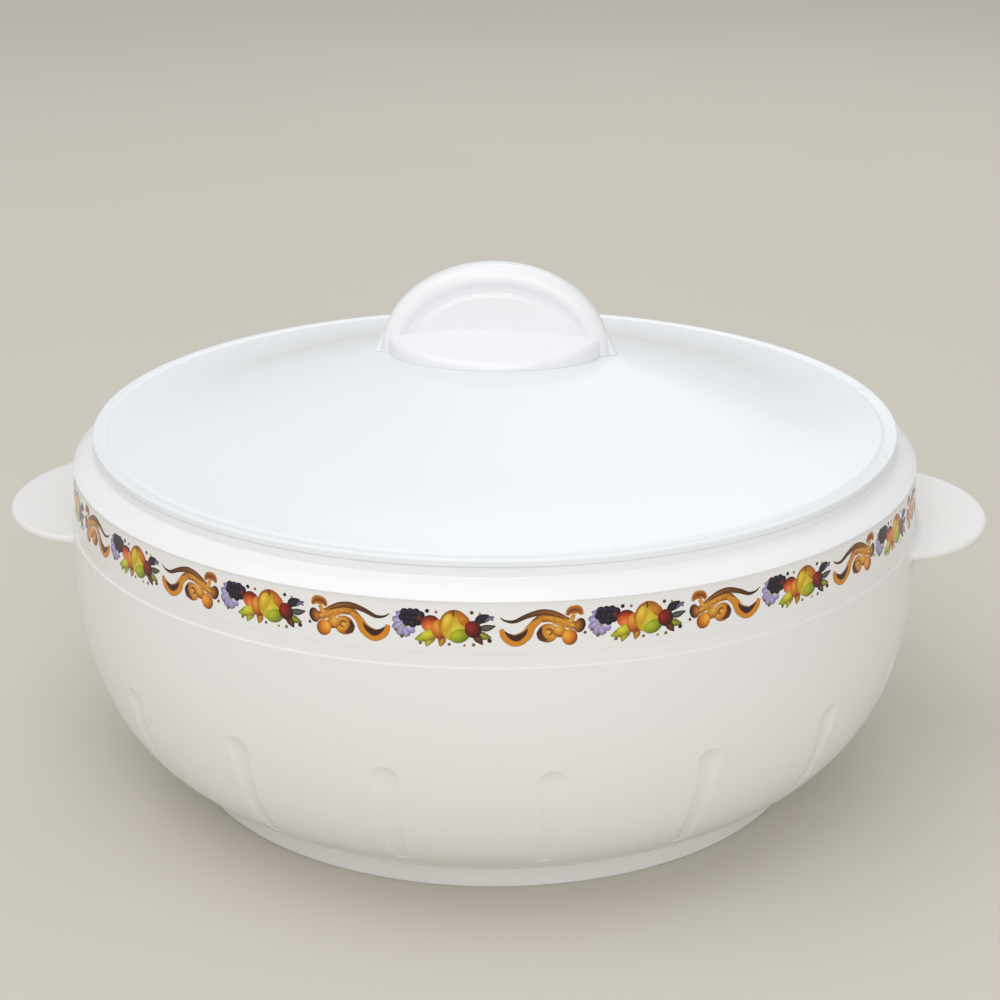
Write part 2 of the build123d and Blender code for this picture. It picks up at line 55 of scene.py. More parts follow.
# Printed band: sixteen fruit clusters with a scroll between each two
REPEATS = 16
FRUIT_START = -8.62
FRUIT_SPAN = 12.05
SCROLL_SPAN = 360 / REPEATS - FRUIT_SPAN
MOTIF_HEIGHT = 0.10525
BAND_GROUND = (237, 236, 235)
PRINT_THICKNESS = 0.00003
INK_DEPTH = 1.25
GROUND_STEP = 1.7
FILL_STEP = 0.55
FILL_GAP = 0.12
STEPS_PER_KNOT = 12
SHARP_ANGLE = math.radians(40)

# Round fruit, as shares of its radius from the shine outwards
MIDDLE_INK_AT = 0.75
DARK_INK_WIDTH = 0.65
RIM_SHADE = 0.75

# Leaf, as shares of its greatest width from foot to tip
LEAF_TAPER = (0.12, 0.8, 1.0, 0.62, 0.04)
LEAF_RIM_SHADE = 0.6

# How close counts as the same, in metres for the band and in millimetres for its flat drawing
EDGE_TOLERANCE = 1e-5
LEVEL_TOLERANCE = 1e-7
WELD_STEP = 2e-6
CUT_TOLERANCE = 1e-5
SLIVER_AREA = 1e-9

# Gloss plastic: refraction, and noise features per metre
PLASTIC_IOR = 1.49
MOTTLE_SCALE = 9.0
GLOSS_SCALE = 40.0
RIPPLE_SCALE = 160.0
GRAIN_SCALE = 2400.0
RIPPLE_DEPTH = 0.0004
GRAIN_DEPTH = 0.00005


# Colour and node helpers

def linear(levels):
    """Display levels, 0 to 255, as the linear levels that a shader takes, by the sRGB curve."""
    share = np.asarray(levels, float) / 255
    return np.where(share <= 0.04045, share / 12.92, ((share + 0.055) / 1.055) ** 2.4)


def rgba(colour):
    """A display colour as a shader's colour with full cover."""
    return (*linear(colour).tolist(), 1.0)


def new_material(name):
    """An empty material: itself, its node tree and its shader."""
    material = bpy.data.materials.new(name)
    material.use_nodes = True
    tree = material.node_tree
    return material, tree, tree.nodes["Principled BSDF"]


def add_node(tree, kind, **values):
    """Adds a node; a value goes to the input of that name, with _ for a space."""
    node = tree.nodes.new(kind)
    for key, value in values.items():
        name = key.replace("_", " ")
        if name in node.inputs:
            node.inputs[name].default_value = value
        else:
            setattr(node, key, value)
    return node


def noise(tree, scale, detail=2.0, roughness=0.5):
    """Noise in the object's own space; scale is in features per metre."""
    place = add_node(tree, "ShaderNodeTexCoord")
    texture = add_node(tree, "ShaderNodeTexNoise", Scale=scale, Detail=detail, Roughness=roughness)
    tree.links.new(place.outputs["Object"], texture.inputs["Vector"])
    return texture.outputs["Fac"]


def ramp(tree, factor, stops):
    """Colour ramp through (position, display colour) stops."""
    node = add_node(tree, "ShaderNodeValToRGB")
    elements = node.color_ramp.elements
    for index, (position, colour) in enumerate(stops):
        element = elements[index] if index < 2 else elements.new(position)
        element.position = position
        element.color = rgba(colour)
    tree.links.new(factor, node.inputs["Fac"])
    return node.outputs["Color"]


def spread(tree, factor, low, high, from_low=0.3, from_high=0.7):
    """Maps a texture's middle range to a range of values."""
    node = add_node(tree, "ShaderNodeMapRange")
    node.inputs["From Min"].default_value = from_low
    node.inputs["From Max"].default_value = from_high
    node.inputs["To Min"].default_value = low
    node.inputs["To Max"].default_value = high
    tree.links.new(factor, node.inputs["Value"])
    return node.outputs["Result"]


def bump(tree, height, strength, distance, below=None):
    """Relief from a height, laid over another relief where one is given."""
    node = add_node(tree, "ShaderNodeBump", Strength=strength, Distance=distance)
    tree.links.new(height, node.inputs["Height"])
    if below is not None:
        tree.links.new(below, node.inputs["Normal"])
    return node.outputs["Normal"]


def moulded(name, light, dark, roughness, peel=0.05):
    """Glossy moulded plastic: faint mottling, uneven gloss and a fine orange peel."""
    material, tree, shader = new_material(name)
    cloud = noise(tree, MOTTLE_SCALE, 1.0, 0.4)
    tree.links.new(ramp(tree, cloud, [(0.2, dark), (0.8, light)]), shader.inputs["Base Color"])
    gloss = spread(tree, noise(tree, GLOSS_SCALE, 1.0, 0.4), roughness - 0.02, roughness + 0.03)
    tree.links.new(gloss, shader.inputs["Roughness"])
    ripple = bump(tree, noise(tree, RIPPLE_SCALE, 2.0), peel, RIPPLE_DEPTH)
    grain = bump(tree, noise(tree, GRAIN_SCALE, 2.0), peel, GRAIN_DEPTH, ripple)
    tree.links.new(grain, shader.inputs["Normal"])
    shader.inputs["IOR"].default_value = PLASTIC_IOR
    return material


def turned_steel(name):
    """Spun steel: fine rings about the pot's axis under a soft polish."""
    material, tree, shader = new_material(name)
    place = add_node(tree, "ShaderNodeTexCoord")
    split = add_node(tree, "ShaderNodeSeparateXYZ")
    tree.links.new(place.outputs["Object"], split.inputs["Vector"])
    flat = add_node(tree, "ShaderNodeCombineXYZ")
    tree.links.new(split.outputs["X"], flat.inputs["X"])
    tree.links.new(split.outputs["Y"], flat.inputs["Y"])
    radius = add_node(tree, "ShaderNodeVectorMath", operation="LENGTH")
    tree.links.new(flat.outputs["Vector"], radius.inputs[0])
    lane = add_node(tree, "ShaderNodeCombineXYZ")
    tree.links.new(radius.outputs["Value"], lane.inputs["X"])
    tree.links.new(split.outputs["Z"], lane.inputs["Z"])
    rings = add_node(tree, "ShaderNodeTexNoise", Scale=1500.0, Detail=3.0)
    tree.links.new(lane.outputs["Vector"], rings.inputs["Vector"])
    tone = ramp(tree, rings.outputs["Fac"], [(0.3, (168, 168, 170)), (0.7, (206, 206, 208))])
    tree.links.new(tone, shader.inputs["Base Color"])
    tree.links.new(spread(tree, rings.outputs["Fac"], 0.2, 0.36), shader.inputs["Roughness"])
    tree.links.new(bump(tree, rings.outputs["Fac"], 0.12, 0.00008), shader.inputs["Normal"])
    shader.inputs["Metallic"].default_value = 1.0
    return material


def rubber(name, light, dark):
    """Soft matt rubber with a fine grain."""
    material, tree, shader = new_material(name)
    cloud = noise(tree, 180.0, 4.0, 0.6)
    tree.links.new(ramp(tree, cloud, [(0.3, dark), (0.7, light)]), shader.inputs["Base Color"])
    tree.links.new(spread(tree, cloud, 0.55, 0.75), shader.inputs["Roughness"])
    tree.links.new(bump(tree, noise(tree, 1800.0, 3.0), 0.25, 0.00008), shader.inputs["Normal"])
    return material


def foam(name):
    """Rigid cream foam with open cells."""
    material, tree, shader = new_material(name)
    place = add_node(tree, "ShaderNodeTexCoord")
    cells = add_node(tree, "ShaderNodeTexVoronoi", Scale=900.0)
    tree.links.new(place.outputs["Object"], cells.inputs["Vector"])
    tone = ramp(tree, noise(tree, 60.0, 4.0), [(0.3, (214, 196, 146)), (0.7, (236, 222, 178))])
    tree.links.new(tone, shader.inputs["Base Color"])
    tree.links.new(spread(tree, cells.outputs["Distance"], 0.85, 0.98, 0.0, 1.0), shader.inputs["Roughness"])
    tree.links.new(bump(tree, cells.outputs["Distance"], 0.6, 0.0005), shader.inputs["Normal"])
    return material


def zinc(name):
    """Bright zinc plating with a faint spangle."""
    material, tree, shader = new_material(name)
    spangle = noise(tree, 900.0, 3.0, 0.7)
    tone = ramp(tree, spangle, [(0.3, (150, 152, 156)), (0.7, (206, 207, 210))])
    tree.links.new(tone, shader.inputs["Base Color"])
    tree.links.new(spread(tree, spangle, 0.25, 0.45), shader.inputs["Roughness"])
    tree.links.new(bump(tree, spangle, 0.15, 0.00006), shader.inputs["Normal"])
    shader.inputs["Metallic"].default_value = 1.0
    return material


def print_material(name):
    """Printed film: ink colours from the mesh, a light ink grain, and a smooth glossy face."""
    material, tree, shader = new_material(name)
    ink = add_node(tree, "ShaderNodeAttribute", attribute_name="ink")
    grain = noise(tree, 1500.0, 2.0, 0.5)
    print_tone = add_node(tree, "ShaderNodeMix", data_type="RGBA", blend_type="MULTIPLY")
    print_tone.inputs["Factor"].default_value = 1.0
    tree.links.new(ink.outputs["Color"], print_tone.inputs["A"])
    paper = ramp(tree, grain, [(0.2, (250, 250, 250)), (0.8, (255, 255, 255))])
    tree.links.new(paper, print_tone.inputs["B"])
    tree.links.new(print_tone.outputs["Result"], shader.inputs["Base Color"])
    gloss = spread(tree, noise(tree, GLOSS_SCALE, 1.0, 0.4), 0.22, 0.27)
    tree.links.new(gloss, shader.inputs["Roughness"])
    ripple = bump(tree, noise(tree, RIPPLE_SCALE, 2.0), 0.05, RIPPLE_DEPTH)
    tree.links.new(bump(tree, grain, 0.04, 0.00004, ripple), shader.inputs["Normal"])
    shader.inputs["IOR"].default_value = PLASTIC_IOR
    return material


def dress(node, material):
    """Gives a carried-over node its material."""
    mesh = nodes[node].data
    mesh.materials.clear()
    mesh.materials.append(material)


# Drawing of the printed band, in millimetres: x along the band, y up, each motif about its own centre

def oval(x, y, across, up, tilt=0.0, count=22):
    """Outline of an ellipse."""
    angle = np.linspace(0, 2 * math.pi, count, endpoint=False)
    lean = math.radians(tilt)
    along = across * np.cos(angle)
    high = up * np.sin(angle)
    turned_x = x + along * math.cos(lean) - high * math.sin(lean)
    turned_y = y + along * math.sin(lean) + high * math.cos(lean)
    return np.stack([turned_x, turned_y], 1)


def smooth_line(points, count):
    """Even walk along a Catmull-Rom line through a few points."""
    knots = np.array(points, float)
    ends = np.vstack([2 * knots[0] - knots[1], knots, 2 * knots[-1] - knots[-2]])
    walk = []
    for k in range(1, len(ends) - 2):
        before, start, stop, after = ends[k - 1], ends[k], ends[k + 1], ends[k + 2]
        slope = stop - before
        bend = 2 * before - 5 * start + 4 * stop - after
        twist = 3 * start - before - 3 * stop + after
        for t in np.linspace(0, 1, STEPS_PER_KNOT, endpoint=False):
            walk.append(0.5 * (2 * start + slope * t + bend * t**2 + twist * t**3))
    walk.append(knots[-1])
    walk = np.array(walk)
    length = np.concatenate([[0], np.cumsum(np.linalg.norm(np.diff(walk, axis=0), axis=1))])
    even = np.linspace(0, length[-1], count)
    return np.stack([np.interp(even, length, walk[:, 0]), np.interp(even, length, walk[:, 1])], 1)


def brush(points, widths, count=20, grow=0.0):
    """Centre line and outline of a brush stroke whose width varies along it."""
    line = smooth_line(points, count)
    share = np.linspace(0, 1, count)
    half = np.interp(share, np.linspace(0, 1, len(widths)), widths) / 2 + grow
    run = np.gradient(line, axis=0)
    run /= np.linalg.norm(run, axis=1)[:, None]
    side = np.stack([-run[:, 1], run[:, 0]], 1) * half[:, None]
    return line, half, np.vstack([line + side, (line - side)[::-1]])


def mix(first, second, share):
    """Blend of two inks at each point, from all first at a share of 0 to all second at 1."""
    share = np.clip(share, 0, 1)[:, None]
    return np.array(first) * (1 - share) + np.array(second) * share


class Motif:
    """Flat shapes in painting order, each with a function that gives its ink at any point."""

    def __init__(self):
        self.shapes = []

    def flat(self, outline, ink):
        """Shape of one even ink."""
        colour = np.array(ink, float)
        self.shapes.append((outline, lambda p: np.tile(colour, (len(p), 1))))

    def ball(self, x, y, across, up, light, middle, dark, rim, tilt=0.0, count=22, shine=(-0.32, 0.34)):
        """Round fruit: light where it shines, dark towards its rim, with a thin darker outline."""
        lean = math.radians(tilt)
        if rim > 0:
            self.flat(oval(x, y, across + rim, up + rim, tilt, count), np.array(dark) * RIM_SHADE)

        def ink(p):
            away = p - (x, y)
            u = (away[:, 0] * math.cos(lean) + away[:, 1] * math.sin(lean)) / across
            v = (away[:, 1] * math.cos(lean) - away[:, 0] * math.sin(lean)) / up
            distance = np.hypot(u - shine[0], v - shine[1])
            first = mix(light, middle, distance / MIDDLE_INK_AT)
            return mix(first, dark, (distance - MIDDLE_INK_AT) / DARK_INK_WIDTH)

        self.shapes.append((oval(x, y, across, up, tilt, count), ink))

    def stroke(self, points, widths, edge, heart, far=None, count=20, rim=0.13, outline=(70, 38, 14)):
        """Brush stroke, darker at its edges than along its heart, whose ink may change towards the end."""
        if rim > 0:
            self.flat(brush(points, widths, count, rim)[2], outline)
        line, half, shape = brush(points, widths, count)
        share = np.linspace(0, 1, count)
        end = heart if far is None else far

        def ink(p):
            gap = np.linalg.norm(p[:, None, :] - line[None, :, :], axis=2)
            near = gap.argmin(1)
            across = gap[np.arange(len(p)), near] / np.maximum(half[near], 0.05)
            middle = mix(heart, end, share[near])
            return middle * (1 - across[:, None]) + np.array(edge) * across[:, None]

        self.shapes.append((shape, ink))

    def leaf(self, x, y, length, width, angle, light, dark, bend=0.0):
        """Pointed leaf from its foot at x, y, with a light vein."""
        lean = math.radians(angle)
        tip = (x + length * math.cos(lean), y + length * math.sin(lean))
        middle = (
            (x + tip[0]) / 2 - bend * math.sin(lean),
            (y + tip[1]) / 2 + bend * math.cos(lean),
        )
        widths = [share * width for share in LEAF_TAPER]
        outline = np.array(dark) * LEAF_RIM_SHADE
        self.stroke([(x, y), middle, tip], widths, dark, light, count=14, outline=outline)


def fruit_motif():
    """Cluster of fruit, leaves, a pale flower and scattered seeds."""
    art = Motif()
    lilac, pale_lilac, deep_lilac = (190, 180, 216), (234, 229, 243), (150, 138, 186)
    for angle in (78, 120, 160, 200, 240, 280, 322):
        lean = math.radians(angle)
        art.ball(
            -11.6 + 1.9 * math.cos(lean), 0.7 + 2.3 * math.sin(lean), 1.9, 1.25,
            pale_lilac, lilac, deep_lilac, tilt=angle, count=16, rim=0.05,
        )
    art.ball(-11.4, 0.3, 0.7, 0.7, (250, 236, 170), (220, 188, 90), (150, 108, 50), count=12, rim=0.05)
    art.leaf(-3.0, -1.2, 6.2, 3.0, 206, (216, 216, 70), (146, 150, 26), 0.5)
    art.leaf(-2.4, -1.4, 5.4, 2.8, 238, (222, 212, 66), (160, 146, 26), -0.4)
    art.leaf(-0.8, -2.0, 3.8, 2.2, 264, (218, 178, 50), (166, 106, 22), 0.3)
    art.leaf(10.2, 1.6, 4.6, 1.5, 26, (158, 150, 176), (96, 88, 116), 0.3)
    art.leaf(8.8, 1.2, 5.0, 2.5, 36, (66, 50, 80), (20, 12, 28), 0.4)
    art.leaf(9.6, 0.1, 5.2, 1.9, 8, (126, 132, 116), (58, 64, 50), -0.3)
    art.leaf(9.2, -1.2, 4.6, 2.2, -20, (188, 190, 62), (102, 110, 26), -0.3)
    art.leaf(8.2, -1.8, 4.2, 2.1, -48, (146, 92, 36), (74, 34, 14), 0.2)
    grape_light, grape, grape_dark = (84, 62, 108), (32, 18, 42), (10, 4, 16)
    for x, y in ((-10.9, 1.2), (-9.2, 0.8), (-7.6, 1.5), (-12.1, 2.6), (-10.3, 2.5), (-8.6, 2.5),
                 (-11.6, 4.1), (-9.9, 4.2), (-8.2, 4.2), (-6.9, 3.5)):
        art.ball(x, y, 1.22, 1.22, grape_light, grape, grape_dark, count=18, rim=0.06)
    art.ball(-7.0, 2.3, 1.15, 1.15, (150, 74, 84), (86, 22, 36), (38, 6, 14), count=18, rim=0.06)
    art.ball(
        -3.9, 1.0, 2.8, 2.6, (242, 168, 92), (214, 100, 34), (116, 22, 12),
        tilt=-12, shine=(0.0, -0.5), rim=0.08,
    )
    art.ball(-4.2, -2.4, 2.7, 1.6, (232, 226, 92), (198, 194, 46), (146, 128, 20), tilt=18, rim=0.05)
    art.ball(-1.5, -0.6, 2.1, 3.0, (240, 182, 76), (212, 128, 32), (146, 72, 16), tilt=8, rim=0.08)
    art.ball(
        2.9, 0.8, 4.3, 4.7, (230, 216, 88), (208, 182, 44), (170, 84, 14),
        count=36, shine=(0.05, -0.3), rim=0.08,
    )
    art.ball(0.9, 1.4, 1.6, 2.9, (244, 222, 104), (222, 186, 52), (206, 172, 44), tilt=-14, rim=0.0)
    art.ball(4.4, -2.4, 3.0, 2.1, (204, 208, 62), (164, 174, 30), (118, 132, 16), tilt=18, rim=0.0)
    art.ball(5.7, 2.4, 1.5, 2.2, (222, 160, 48), (196, 122, 30), (180, 104, 22), tilt=38, rim=0.0)
    stalk = [(2.3, 5.3), (2.7, 4.3), (2.5, 3.5)]
    art.stroke(stalk, (0.5, 0.4, 0.2), (92, 48, 16), (140, 84, 28), count=8, rim=0.03)
    art.ball(8.3, -0.3, 2.35, 2.6, (178, 44, 26), (126, 16, 9), (66, 4, 4), tilt=15, rim=0.08)
    seeds = (
        (-5.0, 4.9, 0.6, (64, 36, 54)),
        (-2.4, 4.7, 0.45, (186, 110, 120)),
        (7.9, 4.8, 0.55, (84, 84, 30)),
        (10.2, 4.5, 0.4, (206, 188, 110)),
        (-14.2, -1.4, 0.45, (150, 110, 74)),
        (-12.4, -3.2, 0.6, (130, 116, 50)),
        (-10.3, -2.6, 0.42, (160, 140, 172)),
        (-7.0, -4.9, 0.5, (120, 126, 62)),
        (1.4, -5.0, 0.45, (150, 96, 50)),
        (8.4, -5.0, 0.5, (140, 130, 60)),
        (13.0, -3.7, 0.65, (70, 44, 26)),
        (13.8, 2.7, 0.36, (160, 140, 170)),
        (-13.9, 3.9, 0.4, (166, 156, 198)),
        (5.8, -5.2, 0.36, (176, 140, 60)),
    )
    for x, y, size, ink in seeds:
        light, dark = np.minimum(np.array(ink) * 1.4, 250), np.array(ink) * 0.65
        art.ball(x, y, size, size, light, ink, dark, count=10, rim=0.04)
    return art


def scroll_motif():
    """Leafy scroll: a long tail over three curled lobes and a small knob."""
    art = Motif()
    gold, pale, amber = (216, 154, 52), (244, 200, 110), (226, 146, 32)
    brown, bark, deep = (150, 90, 20), (104, 58, 18), (50, 22, 8)
    art.stroke([(-3.4, 1.2), (-0.6, 2.9), (3.2, 2.9), (7.4, 1.0), (10.6, -0.4)],
               (1.2, 2.6, 3.4, 3.0, 1.6), brown, gold, pale, 26, 0.08)
    art.stroke([(-12.1, -0.2), (-10.9, -2.4), (-8.0, -3.7), (-5.0, -2.2), (-3.2, 0.6), (-0.6, 2.5)],
               (1.0, 2.8, 3.7, 3.2, 2.2, 1.2), gold, amber, gold, 30, 0.1)
    art.stroke([(-10.9, -1.0), (-9.6, -2.3), (-7.7, -3.0), (-5.6, -1.8), (-4.4, -0.2)],
               (0.4, 1.4, 2.1, 1.5, 0.3), bark, deep, deep, 22, 0.0)
    art.ball(1.3, -1.7, 2.9, 2.8, (248, 206, 116), gold, brown, count=28, shine=(0.4, 0.15), rim=0.1)
    art.stroke([(-0.4, 0.0), (-1.1, -1.6), (-0.4, -3.2), (1.2, -3.9)],
               (0.5, 1.7, 1.9, 0.4), bark, deep, brown, 18, 0.0)
    art.stroke([(0.7, -0.7), (2.0, -0.5), (2.6, -1.7), (1.5, -2.3)],
               (0.4, 0.8, 0.8, 0.3), brown, brown, gold, 14, 0.0)
    art.ball(4.8, -1.4, 2.0, 1.7, pale, gold, brown, tilt=-20, count=20, rim=0.06)
    art.ball(7.7, -3.2, 2.2, 2.4, (250, 196, 84), amber, brown, tilt=12, count=24, rim=0.1)
    art.ball(10.7, 0.2, 1.6, 2.2, gold, brown, deep, tilt=-15, count=18, shine=(-0.5, -0.1), rim=0.06)
    art.ball(12.2, -2.1, 0.45, 0.45, gold, brown, deep, count=10, rim=0.05)
    art.stroke([(6.9, 3.4), (8.0, 4.8), (10.2, 4.9), (11.5, 3.4)],
               (0.8, 2.4, 2.6, 0.6), gold, (118, 44, 16), brown, 20, 0.08)
    art.stroke([(7.6, 1.2), (8.4, 2.4), (9.0, 3.6)], (1.6, 1.3, 1.1), gold, pale, gold, 10, 0.04)
    art.stroke([(-12.3, 3.3), (-10.8, 2.3), (-8.2, 2.1), (-4.8, 3.6), (-0.8, 4.7), (2.8, 4.3), (6.2, 2.9)],
               (0.15, 0.8, 1.2, 1.5, 1.7, 1.6, 1.0), bark, deep, gold, 34, 0.08)
    veins = (((0.4, 3.6), (9.2, 0.6), 0.3), ((0.2, 2.5), (8.6, -0.5), 0.4), ((2.4, 1.6), (7.0, -0.4), 0.2))
    for first, last, drop in veins:
        middle = ((first[0] + last[0]) / 2, (first[1] + last[1]) / 2 + drop)
        art.stroke([first, middle, last], (0.12, 0.5, 0.12), gold, pale, pale, 12, 0.0)
        low = [(x, y - 0.5) for x, y in (first, middle, last)]
        art.stroke(low, (0.08, 0.3, 0.08), gold, brown, brown, 12, 0.0)
    return art


def inside(points, outline):
    """Which points lie inside a closed outline."""
    x, y = points[:, 0][:, None], points[:, 1][:, None]
    ax, ay = outline[:, 0][None, :], outline[:, 1][None, :]
    bx, by = np.roll(ax, -1, 1), np.roll(ay, -1, 1)
    crosses = (ay > y) != (by > y)
    with np.errstate(divide="ignore", invalid="ignore"):
        reach = (bx - ax) * (y - ay) / (by - ay) + ax
    return (crosses & (x < reach)).sum(1) % 2 == 1


def lay_out(art, width, low, high, ground):
    """Cuts a motif's rectangle into triangles that follow every shape.

    Gives the points, the triangles and the ink at each triangle's corners.
    """
    columns = max(2, round(width / GROUND_STEP))
    rows = max(2, round((high - low) / GROUND_STEP))
    xs = np.linspace(-width / 2, width / 2, columns + 1)
    ys = np.linspace(low, high, rows + 1)
    points = [(x, y) for y in (low, high) for x in xs] + [(x, y) for x in (xs[0], xs[-1]) for y in ys[1:-1]]
    edges = []
    outlines = [outline for outline, _ in art.shapes]
    for outline in outlines:
        first = len(points)
        points += [tuple(p) for p in outline]
        edges += [(first + k, first + (k + 1) % len(outline)) for k in range(len(outline))]
    drawn = np.array(points)
    fine_x = np.arange(-width / 2 + FILL_STEP, width / 2, FILL_STEP)
    fine_y = np.arange(low + FILL_STEP, high, FILL_STEP)
    fine = np.array([(x + (row % 2) * FILL_STEP / 2, y) for row, y in enumerate(fine_y) for x in fine_x])
    covered = np.zeros(len(fine), bool)
    for outline in outlines:
        covered |= inside(fine, outline)
    fine = fine[covered & (np.abs(fine[:, 0]) < width / 2 - FILL_STEP / 2)]
    bare = np.array([(x, y) for x in xs[1:-1] for y in ys[1:-1]])
    hidden = np.zeros(len(bare), bool)
    for outline in outlines:
        hidden |= inside(bare, outline)
    extra = np.vstack([fine, bare[~hidden]])
    gap = np.array([np.linalg.norm(drawn - p, axis=1).min() for p in extra])
    points += [tuple(p) for p in extra[gap > FILL_GAP]]
    result = delaunay_2d_cdt([Vector(p) for p in points], edges, [], 0, CUT_TOLERANCE)
    corners = np.array([tuple(v) for v in result[0]])
    triangles = np.array([face[:] for face in result[2]])
    a, b, c = (corners[triangles[:, k]] for k in range(3))
    turn = (b[:, 0] - a[:, 0]) * (c[:, 1] - a[:, 1]) - (b[:, 1] - a[:, 1]) * (c[:, 0] - a[:, 0])
    triangles = triangles[np.abs(turn) > SLIVER_AREA]
    centres = corners[triangles].mean(1)
    ink = np.tile(np.array(ground, float), (len(triangles), 3, 1))
    for outline, colour in art.shapes:
        hit = np.nonzero(inside(centres, outline))[0]
        if len(hit):
            wet = colour(corners[triangles[hit]].reshape(-1, 2)).reshape(-1, 3, 3)
            ink[hit] = 255 * (np.clip(wet, 0, 255) / 255) ** INK_DEPTH
    return corners, triangles, ink


def film_section():
    """The film's lower and upper height, and its inner radius at each, in metres."""
    film = nodes["decal_film"].data
    places = np.empty(len(film.vertices) * 3)
    film.vertices.foreach_get("co", places)
    places = places.reshape(-1, 3)
    radius = np.hypot(places[:, 0], places[:, 1])
    low, high = places[:, 2].min(), places[:, 2].max()
    at_low = radius[places[:, 2] < low + EDGE_TOLERANCE]
    at_high = radius[places[:, 2] > high - EDGE_TOLERANCE]
    return low, high, at_low.min(), at_high.min()


def wrap_motifs(low, high, outer_low, outer_high):
    """All motifs laid round the film's outer face: corners, triangles and the ink at their corners."""
    scale = (outer_low + outer_high) / 2 * math.radians(1) / MM
    foot, head = (low - MOTIF_HEIGHT) / MM, (high - MOTIF_HEIGHT) / MM
    fruit = lay_out(fruit_motif(), FRUIT_SPAN * scale, foot, head, BAND_GROUND)
    scroll = lay_out(scroll_motif(), SCROLL_SPAN * scale, foot, head, BAND_GROUND)
    corners, faces, inks = [], [], []
    count = 0
    for repeat in range(REPEATS):
        start = FRUIT_START + repeat * 360 / REPEATS
        flip = -1 if repeat % 2 else 1
        for (points, triangles, ink), centre, side in (
            (fruit, start + FRUIT_SPAN / 2, 1),
            (scroll, start + FRUIT_SPAN + SCROLL_SPAN / 2, flip),
        ):
            angle = np.radians(centre + side * points[:, 0] / scale)
            height = MOTIF_HEIGHT + points[:, 1] * MM
            share = (height - low) / (high - low)
            radius = outer_low + (outer_high - outer_low) * share
            corners.append(np.stack([radius * np.sin(angle), -radius * np.cos(angle), height], 1))
            order = triangles if side > 0 else triangles[:, ::-1]
            faces.append(order + count)
            inks.append(ink if side > 0 else ink[:, ::-1])
            count += len(points)
    return np.vstack(corners), np.vstack(faces), np.vstack(inks)


def weld(corners, faces, inks):
    """Joins the corners that neighbouring motifs share."""
    keys = np.round(corners / WELD_STEP).astype(np.int64)
    _, first, merged = np.unique(keys, axis=0, return_index=True, return_inverse=True)
    faces = merged.reshape(-1)[faces]
    a, b, c = faces.T
    good = (a != b) & (b != c) & (a != c)
    return corners[first], faces[good], inks[good]


def close_ring(corners, low, high, inner_low, inner_high):
    """Adds the film's inner corners, and the quads of its two edges and of its back."""
    loops = []
    for level, back in ((low, inner_low), (high, inner_high)):
        ring = np.nonzero(np.abs(corners[:, 2] - level) < LEVEL_TOLERANCE)[0]
        ring = ring[np.argsort(np.arctan2(corners[ring, 0], -corners[ring, 1]))]
        turn = np.arctan2(corners[ring, 0], -corners[ring, 1])
        behind = len(corners) + np.arange(len(ring))
        back_ring = np.stack([back * np.sin(turn), -back * np.cos(turn), np.full(len(ring), level)], 1)
        corners = np.vstack([corners, back_ring])
        loops.append((ring, behind))
    (low_ring, low_behind), (high_ring, high_behind) = loops
    low_edge = [low_ring, low_behind, np.roll(low_behind, -1), np.roll(low_ring, -1)]
    high_edge = [high_ring, np.roll(high_ring, -1), np.roll(high_behind, -1), high_behind]
    back_face = [low_behind, high_behind, np.roll(high_behind, -1), np.roll(low_behind, -1)]
    quads = np.vstack([np.stack(quad, 1) for quad in (low_edge, high_edge, back_face)])
    return corners, quads


def printed_band():
    """The film with its print, as one closed ring that follows the node it stands for."""
    low, high, inner_low, inner_high = film_section()
    corners, faces, inks = wrap_motifs(low, high, inner_low + PRINT_THICKNESS, inner_high + PRINT_THICKNESS)
    corners, faces, inks = weld(corners, faces, inks)
    corners, quads = close_ring(corners, low, high, inner_low, inner_high)
    mesh = bpy.data.meshes.new("fruit_band")
    mesh.from_pydata(corners.tolist(), [], faces.tolist() + quads.tolist())
    colours = mesh.color_attributes.new("ink", "FLOAT_COLOR", "CORNER")
    levels = np.vstack([inks.reshape(-1, 3), np.tile(BAND_GROUND, (quads.size, 1))])
    tones = linear(np.clip(levels, 0, 255))
    colours.data.foreach_set("color", np.hstack([tones, np.ones((len(tones), 1))]).ravel().astype(np.float32))
    smooth = np.concatenate([np.ones(len(faces), bool), np.zeros(len(quads), bool)])
    mesh.polygons.foreach_set("use_smooth", smooth)
    mesh.set_sharp_from_angle(angle=SHARP_ANGLE)
    band = bpy.data.objects.new("fruit_band", mesh)
    bpy.context.scene.collection.objects.link(band)
    return band


# Materials

shell_white = moulded("shell_white", (236, 235, 234), (233, 232, 230), 0.24)
collar_white = moulded("collar_white", (242, 242, 244), (239, 239, 241), 0.22)
lid_white = moulded("lid_white", (238, 242, 245), (235, 239, 242), 0.24)
grip_white = moulded("grip_white", (243, 244, 247), (240, 241, 244), 0.22)
liner_white = moulded("liner_white", (232, 232, 228), (226, 226, 221), 0.34)
cap_white = moulded("cap_white", (222, 222, 218), (212, 212, 208), 0.45, 0.12)
steel = turned_steel("bowl_steel")
black_rubber = rubber("gasket_rubber", (44, 44, 46), (26, 26, 28))
seal_rubber = rubber("seal_rubber", (206, 206, 202), (190, 190, 186))
cream_foam = foam("cream_foam")
screw_zinc = zinc("screw_zinc")

for node, material in {
    "outer_shell": shell_white,
    "rim_collar": collar_white,
    "inner_bowl": steel,
    "bowl_gasket": black_rubber,
    "body_foam": cream_foam,
    "base_cap": cap_white,
    "lid_cover": lid_white,
    "lid_liner": liner_white,
    "lid_foam": cream_foam,
    "lid_seal": seal_rubber,
    "lid_cap": cap_white,
    "lid_grip": grip_white,
    "grip_screws": screw_zinc,
    "grip_washers": screw_zinc,
}.items():
    dress(node, material)

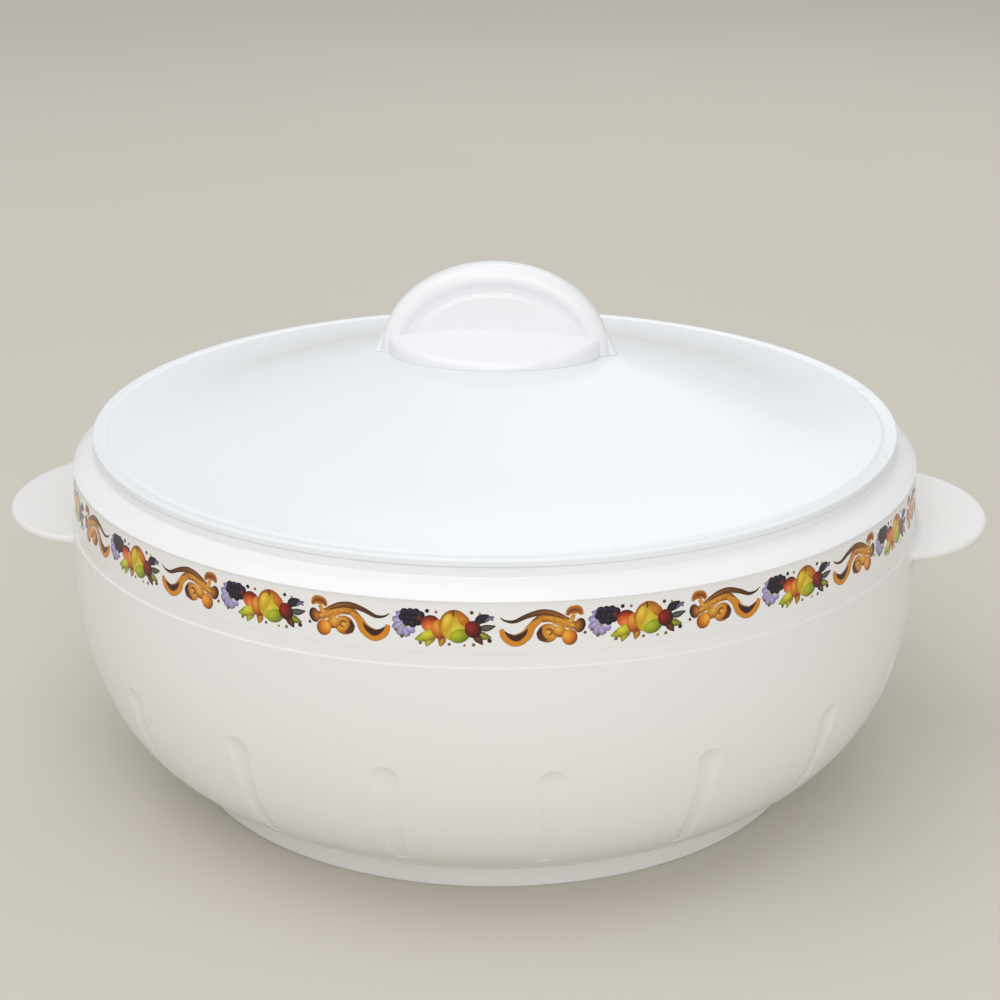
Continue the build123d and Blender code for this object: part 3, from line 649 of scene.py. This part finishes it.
band = printed_band()
band.data.materials.append(print_material("print_ink"))
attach(band, "pot")
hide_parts("decal_film")


# Floor, world, lights and camera

def flat_stage(name, size, colour):
    """Square floor of one near-even colour, about the pot's axis."""
    half = size / 2
    mesh = bpy.data.meshes.new(name)
    corners = [(-half, -half, 0), (half, -half, 0), (half, half, 0), (-half, half, 0)]
    mesh.from_pydata(corners, [], [(0, 1, 2, 3)])
    floor = bpy.data.objects.new(name, mesh)
    bpy.context.scene.collection.objects.link(floor)
    material, tree, shader = new_material(name)
    low, high = np.array(colour) - 1, np.array(colour) + 1
    tone = ramp(tree, noise(tree, 3.0, 2.0), [(0.3, tuple(low)), (0.7, tuple(high))])
    tree.links.new(tone, shader.inputs["Base Color"])
    shader.inputs["Roughness"].default_value = 0.8
    shader.inputs["Specular IOR Level"].default_value = 0.2
    mesh.materials.append(material)


def soft_lamp(name, place, target, size, power):
    """Round white lamp that faces a target and isn't seen itself."""
    data = bpy.data.lights.new(name, "AREA")
    data.shape = "DISK"
    data.size = size
    data.energy = power
    lamp = bpy.data.objects.new(name, data)
    lamp.location = place
    lamp.rotation_euler = (Vector(target) - Vector(place)).to_track_quat("-Z", "Y").to_euler()
    lamp.visible_camera = False
    bpy.context.scene.collection.objects.link(lamp)


flat_stage("floor", FLOOR_SIZE, FLOOR_COLOUR)
soft_lamp("key", (-0.5, -0.5, 1.7), (0, 0, 0.1), 1.9, 8.8)
soft_lamp("fill", (0.2, -1.6, 0.8), (0, 0, 0.08), 1.4, 7.7)
soft_lamp("back", (0.2, 1.4, 1.2), (0, 0, 0.1), 1.2, 3.0)

world = bpy.data.worlds.new("studio")
world.use_nodes = True
background = world.node_tree.nodes["Background"]
background.inputs["Color"].default_value = (*WORLD_COLOUR, 1.0)
background.inputs["Strength"].default_value = WORLD_STRENGTH
bpy.context.scene.world = world
bpy.context.scene.view_settings.view_transform = "Standard"

lens = bpy.data.cameras.new("camera")
lens.lens = CAMERA_LENS
lens.sensor_width = SENSOR_WIDTH
lens.clip_start = NEAREST_SEEN
lens.clip_end = FURTHEST_SEEN
camera = bpy.data.objects.new("camera", lens)
camera.location = CAMERA_PLACE
camera.rotation_euler = CAMERA_TURN
bpy.context.scene.collection.objects.link(camera)
bpy.context.scene.camera = camera
